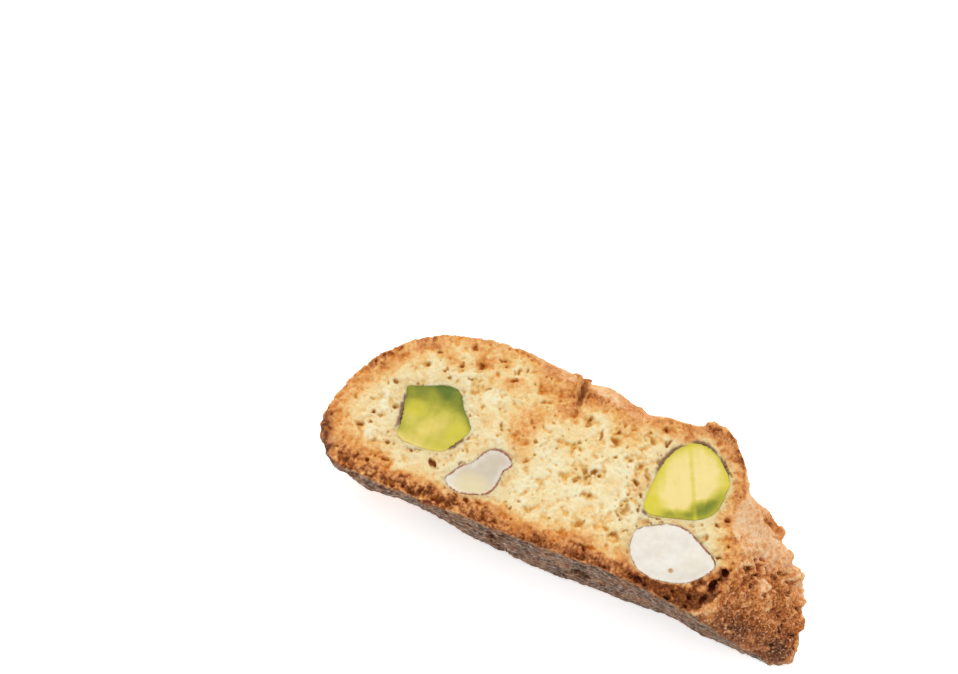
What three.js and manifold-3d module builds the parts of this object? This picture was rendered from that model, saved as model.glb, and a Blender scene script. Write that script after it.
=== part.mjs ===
// A skew slice of an almond and pistachio biscotti log: the twice-baked biscuit, and the four
// kernels that its upper cut face shows, each in a socket of its own in the dough.
//
// The slice lies on one cut face. Z is the thickness of the slice, X runs along the flat
// bottom crust of the log, and its domed crust faces +Y. The log was cut on the skew, so both
// ends of the slice lean towards +X on the way down. Millimetres, with the origin on the
// ground under the middle of the bounding box.

import * as THREE from 'three';
import { mergeVertices } from 'three/addons/utils/BufferGeometryUtils.js';
import Module from 'manifold-3d';

const wasm = await Module();
wasm.setup();

// ---- the slice
const THICKNESS = 13;

// Heights of the outlines that the crust is lofted through, closer where its edges are rounded.
const LEVELS = [13, 12.6, 12, 11.2, 10.4, 9.6, 8.2, 6.8, 5.4, 4, 2.6, 1.4, 0.5, 0];

// How many outline points each stretch of crust gets, in the order of the outlines below.
const STRETCH_STEPS = [40, 20, 18, 36, 24, 12];

const spline = (...points) => new THREE.SplineCurve(points.map(([x, y]) => new THREE.Vector2(x, y)));
const ellipseArc = (x, y, radiusX, radiusY, startTurn, endTurn) =>
  new THREE.EllipseCurve(x, y, radiusX, radiusY, startTurn * 2 * Math.PI, endTurn * 2 * Math.PI);

// The outline of the slice at three heights, anticlockwise from the lower left, as six
// stretches of crust: the flat bottom, the right end, the shoulder, the crown, the left flank
// and the left heel. The shoulder stands proud only at the upper face, where the crust bulges
// round a kernel, and has sunk to the slope of the end at the waist.
const SECTIONS = [
  {
    height: THICKNESS,
    stretches: [
      spline([-30, -13.7], [-20, -13.7], [-5, -13.4], [8, -13], [17.6, -13.8], [21.6, -13.9]),
      spline([21.6, -13.9], [24, -10.9], [25.1, -7.2], [25.3, -4], [24.7, -1.8], [23.2, -0.6],
        [22.2, 0.9], [21.9, 2.6], [22.4, 4.9]),
      spline([22.4, 4.9], [21.7, 7.3], [20.2, 10.1], [17.2, 13], [14.6, 13.6], [13.4, 13.3], [12.7, 12.3]),
      spline([12.7, 12.3], [11.7, 12.2], [9.4, 11.9], [7, 11.4], [5, 10.8], [3, 11.3], [0.5, 11.9],
        [-2.5, 12.3], [-5.6, 12.7], [-8, 12.4], [-12, 12.4], [-15.6, 12.9], [-17, 12.6]),
      ellipseArc(-17, -7, 21.1, 19.6, 0.25, 0.5),
      spline([-38.1, -7], [-38, -9], [-37.2, -10.8], [-35.6, -12.3], [-33.5, -13.4], [-30, -13.7]),
    ],
  },
  {
    height: 9.6,
    stretches: [
      spline([-27, -14.2], [-18, -14], [-4, -13.6], [8, -13.1], [18, -13.6], [24.6, -14]),
      spline([24.6, -14], [27, -10.8], [28.2, -7.5], [28, -4.8], [26.9, -1], [26.3, 2.6]),
      spline([26.3, 2.6], [25.6, 3.7], [24, 4.4], [22.4, 5.3], [21, 7.4], [19.2, 9.5], [16.5, 11.2]),
      spline([16.5, 11.2], [12, 11.9], [8, 11.8], [2, 12.2], [-6, 12.6], [-13.3, 12.3]),
      ellipseArc(-13.3, -7, 21, 19.3, 0.25, 0.5),
      spline([-34.3, -7], [-34.2, -9.2], [-33.6, -11.2], [-32.2, -12.9], [-30, -13.9], [-27, -14.2]),
    ],
  },
  {
    height: 0,
    stretches: [
      spline([-16.5, -12.7], [-11, -13.4], [-4, -13.8], [-2.9, -13.5], [-1.5, -13.9], [8, -13.7],
        [18, -13.2], [27, -13.7], [35.6, -14]),
      spline([35.6, -14], [37.8, -12.4], [38.5, -10.2], [37.9, -7.8], [36.8, -3.8], [35.2, -0.5]),
      spline([35.2, -0.5], [34.6, 0.6], [32.5, 0.8], [32.4, 2.2], [30.8, 3], [30.3, 4.7], [28, 4.4],
        [25.2, 5.6]),
      spline([25.2, 5.6], [20.5, 9.1], [16, 11], [10, 12], [4, 12.5], [-3, 12.2]),
      ellipseArc(-3, -6.2, 20.4, 18.4, 0.25, 0.5),
      ellipseArc(-16.5, -6.2, 6.9, 6.5, 0.5, 0.75),
    ],
  },
];

// Rounding of the cut edges: the crust draws in by `inset` over the first `depth` below the
// upper face. On the crown the rounding is broad and shows as a band of crust, and on the
// right end it is soft.
const SHARP_EDGE = { inset: 0.3, depth: 0.9 };
const END_EDGE = { inset: 0.7, depth: 1.8 };
const CROWN_EDGE = { inset: 1.7, depth: 2.9, from: -13, to: 6.5, fade: 2.5 };
const LOWER_EDGE = { inset: 0.3, depth: 0.9 };

// Slow unevenness of the baked crust: lumps about as wide as half a wave is long.
const CRUST_LUMPS = [
  { height: 0.22, wave: 17, phase: 0.6 },
  { height: 0.16, wave: 9.5, phase: 2.3 },
  { height: 0.12, wave: 6, phase: 4.1 },
];

// ---- the kernels, each by the section that the upper cut face shows, anticlockwise, the
// length that goes on below it, and how far it drifts sideways for each mm of depth.
const SOCKET_GAP = 0.3;
const KERNEL_SINK = 0.1;
const STEPS_A_SPAN = 2;
const KERNEL_RINGS = 7;
const TIP_TURN = 0.47 * Math.PI;
const KERNEL_ROUGHNESS = 0.5;
const CUT_CLEARANCE = 1;
const KERNELS = {
  pistachio_left: {
    section: [[-28.1, -0.2], [-28, -1.6], [-27.4, -4.6], [-27.2, -6.1], [-24.2, -6.4], [-21.1, -5.9],
      [-20.2, -5.4], [-18.6, -2.9], [-18, -1.2], [-20.1, 1.1], [-21, 2.7], [-22.1, 3.4], [-23.9, 3.2],
      [-25.5, 2.4], [-27.5, 1.6], [-28.6, 1.1]],
    length: 9.5, drift: [0.4, 0], colour: '#c9c04a',
  },
  almond_left: {
    section: [[-17.6, -10], [-15.8, -10.3], [-14, -9.8], [-12.1, -8.9], [-11.4, -7.3], [-11.3, -4.9],
      [-10.5, -3.9], [-11.5, -2.7], [-12.9, -2.4], [-14.2, -3], [-15.2, -4.5], [-15.8, -5.9],
      [-17, -6.6], [-18, -8.2], [-18.5, -9.3]],
    length: 5, drift: [0.3, 0.1], colour: '#d8cdb2',
  },
  pistachio_right: {
    section: [[9.2, -1.6], [9.7, -2.5], [11.3, -2.5], [14.7, -1.6], [16.6, -1], [18.3, 0.2],
      [19.2, 1.8], [19.3, 3.8], [19.3, 5.9], [18.3, 7.2], [16.7, 8.6], [15.1, 9.4], [13.7, 9.6],
      [12.2, 9], [10.7, 7.4], [9.7, 5.4], [9.3, 2.6]],
    length: 10.5, drift: [0.3, 0.1], colour: '#e6d878',
  },
  almond_right: {
    section: [[9.6, -8.3], [10.5, -9.7], [11.9, -10.7], [14.1, -11.1], [16.7, -10.7], [19.1, -9.6],
      [20.7, -8], [21.7, -6.5], [21.4, -5.5], [19.5, -4.4], [17.1, -3.2], [15.3, -2.8], [13.3, -3.2],
      [10.9, -4.5], [9.6, -5.5], [9.4, -7]],
    length: 15, drift: [0.35, 0], colour: '#efe9dc',
  },
};

// ---- breaks in the biscuit: the split that baking opened in the crown, as its outline at the
// cut face and at its floor, and the larger holes in the crumb of the upper face. A hole is an
// oval bowl: half its length, half its width, its turn from +X in degrees, and its depth.
const CROWN_SPLIT = {
  depth: 2.4,
  mouth: [[-6.9, 13.6], [-6.3, 11.6], [-5.9, 9.8], [-5.4, 8.4], [-4.9, 7.6], [-4.4, 8.6], [-4.3, 9.8],
    [-4.4, 11.2], [-4.5, 13.6]],
  floor: [[-5.4, 13.6], [-5.2, 11.6], [-5, 9.8], [-4.9, 9.2], [-4.8, 8.9], [-4.7, 9.2], [-4.6, 9.8],
    [-4.7, 11.2], [-4.8, 13.6]],
};
const HOLES = [
  { x: 23.5, y: -6.5, halfLong: 0.65, halfWide: 0.5, turn: 100, depth: 1.1 },
  { x: 22.4, y: -8.9, halfLong: 1.15, halfWide: 0.5, turn: 80, depth: 1.3 },
  { x: 21.8, y: -11.3, halfLong: 0.9, halfWide: 0.36, turn: 65, depth: 1 },
  { x: 12.1, y: -12.1, halfLong: 0.95, halfWide: 0.42, turn: -12, depth: 0.9 },
  { x: -21, y: -7.9, halfLong: 0.85, halfWide: 0.45, turn: -40, depth: 0.9 },
];

const CRUST_COLOUR = '#c98a52';
const CRUST_ROUGHNESS = 0.9;

// Outward directions of a closed ring of points, level with the ground.
function outwardOf(ring) {
  return ring.map((point, i) => {
    const before = ring[(i + ring.length - 1) % ring.length];
    const after = ring[(i + 1) % ring.length];
    return new THREE.Vector2(after.y - before.y, before.x - after.x).normalize();
  });
}

// A closed solid through rings of equal length, listed from the top down, with flat caps.
function loft(rings) {
  const count = rings[0].length;
  const positions = rings.flatMap((ring) => ring.flatMap((point) => [point.x, point.y, point.z]));
  const faces = [];
  for (let level = 0; level < rings.length - 1; level++) {
    for (let i = 0; i < count; i++) {
      const next = (i + 1) % count;
      const above = level * count;
      const below = above + count;
      faces.push(above + i, below + i, below + next);
      faces.push(above + i, below + next, above + next);
    }
  }
  const bottomStart = (rings.length - 1) * count;
  for (const [a, b, c] of THREE.ShapeUtils.triangulateShape(rings[0], [])) {
    faces.push(a, b, c);
  }
  for (const [a, b, c] of THREE.ShapeUtils.triangulateShape(rings[rings.length - 1], [])) {
    faces.push(bottomStart + a, bottomStart + c, bottomStart + b);
  }
  const geometry = new THREE.BufferGeometry();
  geometry.setAttribute('position', new THREE.Float32BufferAttribute(positions, 3));
  geometry.setIndex(faces);
  return geometry;
}

function toManifold(geometry) {
  const bare = geometry.clone();
  bare.deleteAttribute('normal');
  bare.deleteAttribute('uv');
  const merged = mergeVertices(bare);
  return new wasm.Manifold(new wasm.Mesh({
    numProp: 3,
    vertProperties: new Float32Array(merged.attributes.position.array),
    triVerts: new Uint32Array(merged.index.array),
  }));
}

function toGeometry(manifold) {
  const mesh = manifold.getMesh();
  const geometry = new THREE.BufferGeometry();
  geometry.setAttribute('position', new THREE.BufferAttribute(mesh.vertProperties, 3));
  geometry.setIndex(new THREE.BufferAttribute(mesh.triVerts, 1));
  return geometry;
}

// Points of one section's outline.
const outlineOf = (section) => section.stretches.flatMap((curve, i) =>
  curve.getSpacedPoints(STRETCH_STEPS[i]).slice(0, -1));

// The outline at any height, straight between the two sections that it lies between.
function outlineAt(height) {
  const below = SECTIONS.findIndex((section) => section.height <= height);
  const upper = SECTIONS[Math.max(below - 1, 0)];
  const lower = SECTIONS[below];
  const share = upper === lower ? 1 : (height - lower.height) / (upper.height - lower.height);
  const lowerPoints = outlineOf(lower);
  return outlineOf(upper).map((point, i) => new THREE.Vector2().lerpVectors(lowerPoints[i], point, share));
}

// How far the crust draws in at a height, on one stretch of the outline.
function edgeInset(x, height, stretch) {
  const isEnd = stretch === 1;
  const isCrown = stretch === 3;
  const intoCrownBand = Math.min(x - CROWN_EDGE.from, CROWN_EDGE.to - x) / CROWN_EDGE.fade;
  const band = isCrown ? THREE.MathUtils.clamp(intoCrownBand, 0, 1) : 0;
  const plain = isEnd ? END_EDGE : SHARP_EDGE;
  const inset = THREE.MathUtils.lerp(plain.inset, CROWN_EDGE.inset, band);
  const depth = THREE.MathUtils.lerp(plain.depth, CROWN_EDGE.depth, band);
  const roundOff = (distance, reach) => 1 - Math.sqrt(THREE.MathUtils.clamp(distance / reach, 0, 1));
  const lowerInset = LOWER_EDGE.inset * roundOff(height, LOWER_EDGE.depth);
  return inset * roundOff(THICKNESS - height, depth) + lowerInset;
}

// Height of the crust's lumps at a place: three crossed waves for each size of lump.
function crustLump(x, y, z) {
  return CRUST_LUMPS.reduce((sum, { height, wave, phase }) => {
    const k = (2 * Math.PI) / wave;
    const lump = Math.sin(k * (x + 0.4 * z) + phase) * Math.sin(k * (y - 0.3 * x) - phase)
      + Math.sin(k * (z + 0.5 * y) + 2 * phase) * Math.sin(k * (0.8 * x - 0.6 * z));
    return sum + (height * lump) / 2;
  }, 0);
}

// The slice without its sockets: its outlines from the upper face down, less their rounded
// edges, plus the lumps of the crust.
function biscuitBody() {
  const upper = outlineAt(THICKNESS);
  const stretchOf = STRETCH_STEPS.flatMap((steps, stretch) => Array(steps).fill(stretch));
  const rings = LEVELS.map((height) => {
    const outline = outlineAt(height);
    const outward = outwardOf(outline);
    return outline.map((point, i) => {
      const out = crustLump(point.x, point.y, height) - edgeInset(upper[i].x, height, stretchOf[i]);
      return new THREE.Vector3(point.x + out * outward[i].x, point.y + out * outward[i].y, height);
    });
  });
  return loft(rings);
}

// One kernel, or with room above 0 the socket that holds it, which also runs past the cut
// faces. A kernel is widest at the upper face and narrows to a blunt tip, unless the lower
// face cuts it first.
function kernelBody({ section, length, drift }, room = 0) {
  const curve = new THREE.CatmullRomCurve3(section.map(([x, y]) => new THREE.Vector3(x, y, 0)), true);
  const outline = curve.getPoints(section.length * STEPS_A_SPAN).slice(0, -1);
  const outward = outwardOf(outline);
  const middle = new THREE.Vector3();
  outline.forEach((point) => middle.addScaledVector(point, 1 / outline.length));
  const runsThrough = length > THICKNESS;
  const lastTurn = runsThrough ? Math.asin(THICKNESS / length) : TIP_TURN;
  const ring = (depth, scale) => outline.map((point, i) => new THREE.Vector3(
    middle.x + (point.x - middle.x) * scale + outward[i].x * room + drift[0] * depth,
    middle.y + (point.y - middle.y) * scale + outward[i].y * room + drift[1] * depth,
    THICKNESS - depth));
  const rings = [];
  for (let step = 0; step <= KERNEL_RINGS; step++) {
    const turn = (lastTurn * step) / KERNEL_RINGS;
    rings.push(ring(length * Math.sin(turn), Math.cos(turn)));
  }
  const tip = rings[rings.length - 1];
  if (room > 0) {
    rings.unshift(ring(-CUT_CLEARANCE, 1));
    tip.forEach((point) => { point.z -= runsThrough ? CUT_CLEARANCE : room; });
  } else {
    rings[0].forEach((point) => { point.z -= KERNEL_SINK; });
    tip.forEach((point) => { point.z += runsThrough ? KERNEL_SINK : 0; });
  }
  return loft(rings);
}

// The split narrows evenly from its mouth at the cut face to its floor.
function splitBody({ mouth, floor, depth }) {
  const ringAt = (outline, height) => outline.map(([x, y]) => new THREE.Vector3(x, y, height));
  const above = ringAt(mouth, THICKNESS + CUT_CLEARANCE);
  return loft([above, ringAt(mouth, THICKNESS), ringAt(floor, THICKNESS - depth)]);
}

function holeBody({ x, y, halfLong, halfWide, turn, depth }) {
  const bowl = new THREE.IcosahedronGeometry(1, 1).scale(halfLong, halfWide, depth);
  return bowl.rotateZ(THREE.MathUtils.degToRad(turn)).translate(x, y, THICKNESS);
}

function namedMesh(name, geometry, colour, roughness) {
  geometry.computeVertexNormals();
  const material = new THREE.MeshStandardMaterial({ color: colour, roughness, metalness: 0 });
  const mesh = new THREE.Mesh(geometry, material);
  mesh.name = name;
  return mesh;
}

const biscotto = new THREE.Group();
let dough = toManifold(biscuitBody());
for (const [name, kernel] of Object.entries(KERNELS)) {
  dough = dough.subtract(toManifold(kernelBody(kernel, SOCKET_GAP)));
  biscotto.add(namedMesh(name, kernelBody(kernel), kernel.colour, KERNEL_ROUGHNESS));
}
dough = dough.subtract(toManifold(splitBody(CROWN_SPLIT)));
for (const hole of HOLES) {
  dough = dough.subtract(toManifold(holeBody(hole)));
}
biscotto.add(namedMesh('biscuit', toGeometry(dough), CRUST_COLOUR, CRUST_ROUGHNESS));

const middle = new THREE.Box3().setFromObject(biscotto).getCenter(new THREE.Vector3());
biscotto.position.set(-middle.x, -middle.y, 0);

export default biscotto;
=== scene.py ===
"""One slice of a twice-baked almond and pistachio log, lying on a cut face.

Each piece is modelled in millimetres and brought to metres when its shape is finished.
"""
import math
import random

import bpy
import numpy as np
from mathutils import Matrix, Vector, noise
from mathutils.bvhtree import BVHTree
from mathutils.kdtree import KDTree


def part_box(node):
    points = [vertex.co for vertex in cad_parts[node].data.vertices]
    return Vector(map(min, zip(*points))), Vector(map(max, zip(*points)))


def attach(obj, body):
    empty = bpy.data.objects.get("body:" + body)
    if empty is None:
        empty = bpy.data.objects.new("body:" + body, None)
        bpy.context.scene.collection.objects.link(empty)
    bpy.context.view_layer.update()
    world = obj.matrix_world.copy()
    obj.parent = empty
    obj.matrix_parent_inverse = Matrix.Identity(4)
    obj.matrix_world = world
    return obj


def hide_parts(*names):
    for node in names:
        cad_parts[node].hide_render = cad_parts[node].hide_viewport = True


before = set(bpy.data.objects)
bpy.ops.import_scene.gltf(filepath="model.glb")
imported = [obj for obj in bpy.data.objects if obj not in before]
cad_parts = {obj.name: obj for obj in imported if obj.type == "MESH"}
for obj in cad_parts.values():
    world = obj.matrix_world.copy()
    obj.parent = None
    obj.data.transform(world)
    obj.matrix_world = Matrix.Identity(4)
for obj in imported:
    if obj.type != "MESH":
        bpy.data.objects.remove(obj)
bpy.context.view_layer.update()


# ---------------------------------------------------------------------------------------------
# The slice of dough: flour, sugar and egg, baked as a low log, cut on the skew while soft and
# baked again lying on its cut faces. The saw-toothed knife tore the crumb into lumps and left
# its holes open; the log's own skin is a thin brown crust, blistered at the end and floury below.

MM_A_METRE = 1000.0
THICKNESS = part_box("biscuit")[1].z * MM_A_METRE
CRUMB_STEP = 0.18
SEAM = 0.001
OUTLINE_STEP = 0.2
LEVEL_FACE = 0.99
LEVEL_SKIN = 0.95
SAME_HEIGHT = 0.02
FACE_TOLERANCE = 0.25
FAR = 9.0
SOCKET_REACH = 0.6
SOCKET_SWELL = 0.16
KERNEL_NAMES = ["pistachio_left", "almond_left", "pistachio_right", "almond_right"]


def copy_in_mm(node, name):
    """A merged copy of a CAD node's mesh in millimetres, as a new active object."""
    bpy.ops.object.select_all(action="DESELECT")
    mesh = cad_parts[node].data.copy()
    mesh.materials.clear()
    mesh.transform(Matrix.Scale(MM_A_METRE, 4))
    piece = bpy.data.objects.new(name, mesh)
    bpy.context.scene.collection.objects.link(piece)
    piece.select_set(True)
    bpy.context.view_layer.objects.active = piece
    bpy.ops.object.mode_set(mode="EDIT")
    bpy.ops.mesh.select_all(action="SELECT")
    bpy.ops.mesh.remove_doubles(threshold=SEAM)
    bpy.ops.object.mode_set(mode="OBJECT")
    return piece


def refine(piece, step):
    """Remeshes a closed piece evenly, so that every part of its skin can take fine relief."""
    remesh = piece.modifiers.new("even skin", "REMESH")
    remesh.mode = "VOXEL"
    remesh.voxel_size = step
    bpy.ops.object.modifier_apply(modifier=remesh.name)


def read(mesh, what):
    """Places ("co") or normals ("normal") of a mesh's points as an array."""
    values = np.empty(len(mesh.vertices) * 3)
    if what == "co":
        mesh.vertices.foreach_get("co", values)
    else:
        mesh.vertex_normals.foreach_get("vector", values)
    return values.reshape(-1, 3)


def waves(points, size, shift=0.0):
    """Smooth random waves about `size` mm long, mostly from -1 to 1. Each shift is a new pattern."""
    return 1.8 * np.array([noise.noise(p) for p in (points / size + shift).tolist()])


def domes(points, size, shift=0.0):
    """Rounded grains about `size` mm across that meet in creases, level on average."""
    nearest = [noise.voronoi(p)[0][0] for p in (points / size + shift).tolist()]
    return 0.5 - 1.7 * np.array(nearest) ** 2


def ease(low, high, value):
    """0 below `low`, 1 above `high`, smooth between."""
    t = np.clip((value - low) / (high - low), 0.0, 1.0)
    return t * t * (3.0 - 2.0 * t)


def face_outline(mesh, height, up):
    """Closely set points along the outer edge of the flat face that lies at this height."""
    uses = {}
    for face in mesh.polygons:
        if face.normal.z * up > LEVEL_FACE and abs(face.center.z - height) < SAME_HEIGHT:
            for key in face.edge_keys:
                uses[key] = uses.get(key, 0) + 1
    onward = {}
    for (a, b), count in uses.items():
        if count == 1:
            onward.setdefault(a, []).append(b)
            onward.setdefault(b, []).append(a)
    loops = []
    left = set(onward)
    while left:
        loop = [left.pop()]
        waiting = list(loop)
        while waiting:
            for other in onward[waiting.pop()]:
                if other in left:
                    left.discard(other)
                    loop.append(other)
                    waiting.append(other)
        loops.append(set(loop))
    outer = max(loops, key=lambda loop: max(mesh.vertices[i].co.x for i in loop)
                - min(mesh.vertices[i].co.x for i in loop))
    spots = []
    for (a, b), count in uses.items():
        if count == 1 and a in outer:
            start, end = mesh.vertices[a].co, mesh.vertices[b].co
            steps = max(1, round((end - start).length / OUTLINE_STEP))
            spots += [start.lerp(end, i / steps) for i in range(steps)]
    return spots


def nearest_gap(points, spots):
    """Distance from each point to the nearest of the spots."""
    tree = KDTree(len(spots))
    for index, spot in enumerate(spots):
        tree.insert(spot, index)
    tree.balance()
    return np.array([tree.find(p)[2] for p in points.tolist()])


def patch(at, cx, cy, rx, ry, turn=0.0):
    """1 in the middle of a soft oval patch round (cx, cy), fading to 0 at its edge."""
    c, s = math.cos(math.radians(turn)), math.sin(math.radians(turn))
    u = ((at[0] - cx) * c + (at[1] - cy) * s) / rx
    v = ((at[1] - cy) * c - (at[0] - cx) * s) / ry
    return np.clip(1.0 - (u * u + v * v), 0.0, 1.0)


slice_piece = copy_in_mm("biscuit", "baked_dough")
plain = slice_piece.data.copy()
plain_skin = BVHTree.FromPolygons(
    [v.co for v in plain.vertices], [tuple(p.vertices) for p in plain.polygons])
kernel_skins = [
    BVHTree.FromPolygons([v.co * MM_A_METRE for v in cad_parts[name].data.vertices],
                         [tuple(p.vertices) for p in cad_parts[name].data.polygons])
    for name in KERNEL_NAMES
]
refine(slice_piece, CRUMB_STEP)
points = read(slice_piece.data, "co")
normals = read(slice_piece.data, "normal")
count = len(points)
x, y, z = points.T
seat = (x, y)

# Where each point is: on the shown cut face, on the hidden one, in a kernel's socket, or crust.
facing = np.empty((count, 3))
skin_height = np.empty(count)
for index, point in enumerate(points.tolist()):
    place, normal, _, _ = plain_skin.find_nearest(point)
    facing[index] = normal
    skin_height[index] = place.z
upper = (facing[:, 2] > LEVEL_SKIN) & (skin_height > THICKNESS - FACE_TOLERANCE)
lower = (facing[:, 2] < -LEVEL_SKIN) & (skin_height < FACE_TOLERANCE)
kernel_gap = np.full(count, FAR)
for skin in kernel_skins:
    gaps = [skin.find_nearest(p, FAR)[3] for p in points.tolist()]
    kernel_gap = np.minimum(kernel_gap, [FAR if gap is None else gap for gap in gaps])
socket = ~upper & ~lower & (kernel_gap < SOCKET_REACH)

# The larger holes of the shown face, which are oval bowls, and the split in the crown. Each
# hole is its middle, half its length, half its width, its turn in degrees and its depth.
LARGE_HOLES = [
    (23.36, -6.08, 0.65, 0.50, 100, 1.1), (22.26, -8.48, 1.15, 0.50, 80, 1.3),
    (21.66, -10.88, 0.90, 0.36, 65, 1.0), (11.96, -11.68, 0.95, 0.42, -12, 0.9),
    (-21.14, -7.48, 0.85, 0.45, -40, 0.9),
]
SPLIT_LEFT = [(8.0, -5.04), (8.8, -5.54), (10.2, -6.04), (12.0, -6.44), (14.0, -7.04)]
SPLIT_RIGHT = [(8.0, -5.04), (9.0, -4.54), (10.2, -4.44), (11.6, -4.54), (14.0, -4.64)]
SPLIT_DEPTH = 2.4
HOLE_MARGIN, HOLE_FLOOR = 0.2, 0.4
SPLIT_MARGIN, SPLIT_FLOOR = 0.12, 0.3
below_face = THICKNESS - z
in_hole = np.zeros(count, bool)
for cx, cy, half_long, half_wide, turn, depth in LARGE_HOLES:
    inside = patch(seat, cx, cy, half_long + HOLE_MARGIN, half_wide + HOLE_MARGIN, turn) > 0.0
    in_hole |= inside & ~upper & (below_face < depth + HOLE_FLOOR)
in_split = (
    (x > np.interp(y, *zip(*SPLIT_LEFT)) - SPLIT_MARGIN)
    & (x < np.interp(y, *zip(*SPLIT_RIGHT)) + SPLIT_MARGIN)
    & (y > SPLIT_LEFT[0][0]) & ~upper & (below_face < SPLIT_DEPTH + SPLIT_FLOOR)
)

# Distance from the cut faces' outer edges: above 0 on a cut face, below 0 on the crust. The torn
# crumb hangs over the shown edge a little before the crust begins.
RIM_INSIDE, RIM_OUTSIDE, OVERHANG = 0.3, -0.1, 0.4
rim = nearest_gap(points, face_outline(plain, THICKNESS, 1.0) + face_outline(plain, 0.0, -1.0))
rim = np.where(upper | lower | in_hole, rim, -rim)
rim[socket] = FAR
ragged_rim = rim + 0.25 * waves(points, 0.8, 80.0)
on_cut = ease(RIM_OUTSIDE - OVERHANG * (z > THICKNESS / 2), RIM_INSIDE, ragged_rim)

# The torn crumb. The knife broke it into clumps of grains, with ragged clefts and pockets between
# them that are wide and deep in the middle of the slice and finer near its ends.
TEAR_SIZE, TEAR_SHIFT = 1.1, 0.40
CLUMP_SIZE, GRAIN_SIZE, FINE_SIZE = 1.7, 0.80, 0.40
COARSE_MIDDLE = (2, 2, 15, 12)
CLEFT_FROM, CLEFT_TO = 0.15, -1.35
POCKET_FROM, POCKET_TO = -1.0, -1.8
torn = points + TEAR_SHIFT * np.column_stack(
    [waves(points, TEAR_SIZE, shift) for shift in (3.1, 17.7, 31.3)])
coarse = np.clip(
    0.30 + 0.75 * patch(seat, *COARSE_MIDDLE) + 0.15 * waves(points, 6.0, 44.0), 0.15, 1.2)
clumps = domes(torn, CLUMP_SIZE, 14.0)
grains = domes(torn, GRAIN_SIZE, 5.0)
fine = waves(points, FINE_SIZE, 60.0)
clump_tops = (
    (0.25 + 0.55 * coarse) * waves(torn, 2.6, 1.0)
    + (0.45 + 0.35 * coarse) * waves(torn, 1.25, 8.0)
    + (0.40 + 0.70 * coarse) * clumps + 0.80 * grains + 0.35 * fine)
cleft = ease(CLEFT_FROM, CLEFT_TO, clump_tops)
pocket = ease(POCKET_FROM, POCKET_TO, clump_tops)
crumb_height = (
    0.14 * waves(points, 10.0, 40.0)
    - (0.24 + 0.14 * coarse) * cleft
    - (0.20 + 0.34 * coarse) * pocket
    + 0.10 * coarse * clumps
    + 0.10 * coarse * waves(torn, 1.5, 33.0)
    + 0.06 * grains
    + 0.08 * fine
)

# The crust: the floury base, the sloping end, and the dome, which is the rest. The base reaches
# further round at the left tip. Features are placed as they look from above and a little in
# front. Each pair of numbers is where an area starts and where it is full.
EYE_DROP, EYE_SPREAD = 2.55, 0.034
LEFT_TIP = (-28.0, -33.0)
BASE_EDGE = (-8.0, -11.0)
END_EDGE = (20.5, 23.0)
ROUGH_EDGE, ROUGH_SLOPE, ROUGH_MIDDLE = (1.5, -3.5), 0.25, 28.0
STRETCH = (0.6, 1.0, 1.0)
depth_share = below_face / THICKNESS
seen = (x * (1.0 - EYE_SPREAD * depth_share), y - EYE_DROP * depth_share)
corner = ease(*LEFT_TIP, x)
base = ease(0.55 - 0.35 * corner, 0.85 - 0.30 * corner, -facing[:, 1]) * ease(*BASE_EDGE, y)
ending = ease(*END_EDGE, x) * (1.0 - base) * (1.0 - on_cut)
dome = (1.0 - base) * (1.0 - ending)
blisters = waves(torn, 3.2, 21.0)
rough_end = ease(
    *ROUGH_EDGE, seen[1] + ROUGH_SLOPE * (seen[0] - ROUGH_MIDDLE) + 1.3 * blisters)
beads = waves(torn, 1.3, 27.0)
pocks = waves(torn, 1.5, 130.0) + 0.6 * waves(torn, 0.7, 140.0)
long_points = points * np.array(STRETCH)
streaks = waves(long_points, 0.7, 70.0)
pores = base * ease(0.55, 1.15, waves(long_points, 0.85, 75.0) + 0.45 * waves(points, 0.45, 78.0))
crust_height = (
    ending * rough_end * (0.40 * blisters + 0.32 * beads)
    + ending * (1.0 - rough_end) * (0.12 * blisters + 0.04 * beads)
    + dome * (0.16 * blisters + 0.12 * beads - 0.20 * ease(0.8, 1.3, pocks))
    + base * (0.10 * streaks + 0.10 * beads - 0.28 * pores)
    + (0.05 + 0.04 * ending * rough_end) * fine
    + 0.08
)

# Where the loaf swelled or sagged as a whole: middle, half length, half width, turn and height.
SWELLS = [
    (-38.0, -9.0, 2.5, 4.5, 0, 0.35), (-34.5, -13.0, 3.0, 2.6, -35, 0.30),
    (-20.0, -15.0, 8.5, 1.9, -3, -0.55), (-6.6, 13.2, 1.2, 1.5, 0, 0.60),
    (-1.6, 12.7, 4.6, 1.6, -12, 0.50), (4.9, 11.6, 1.5, 1.2, 0, -0.35),
    (23.6, 6.4, 2.0, 2.0, 0, -0.45), (30.2, 2.0, 1.3, 2.0, 0, 0.30),
    (31.6, -1.2, 0.8, 0.8, 0, -0.60), (35.2, -4.6, 1.6, 2.6, 0, -0.35),
    (37.4, -11.6, 2.8, 3.2, 0, -1.00), (32.6, -15.6, 2.4, 1.2, 0, -0.20),
]
for *where, swell_height in SWELLS:
    crust_height += swell_height * (1.0 - on_cut) * ease(0.0, 1.0, patch(seen, *where))

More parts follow.
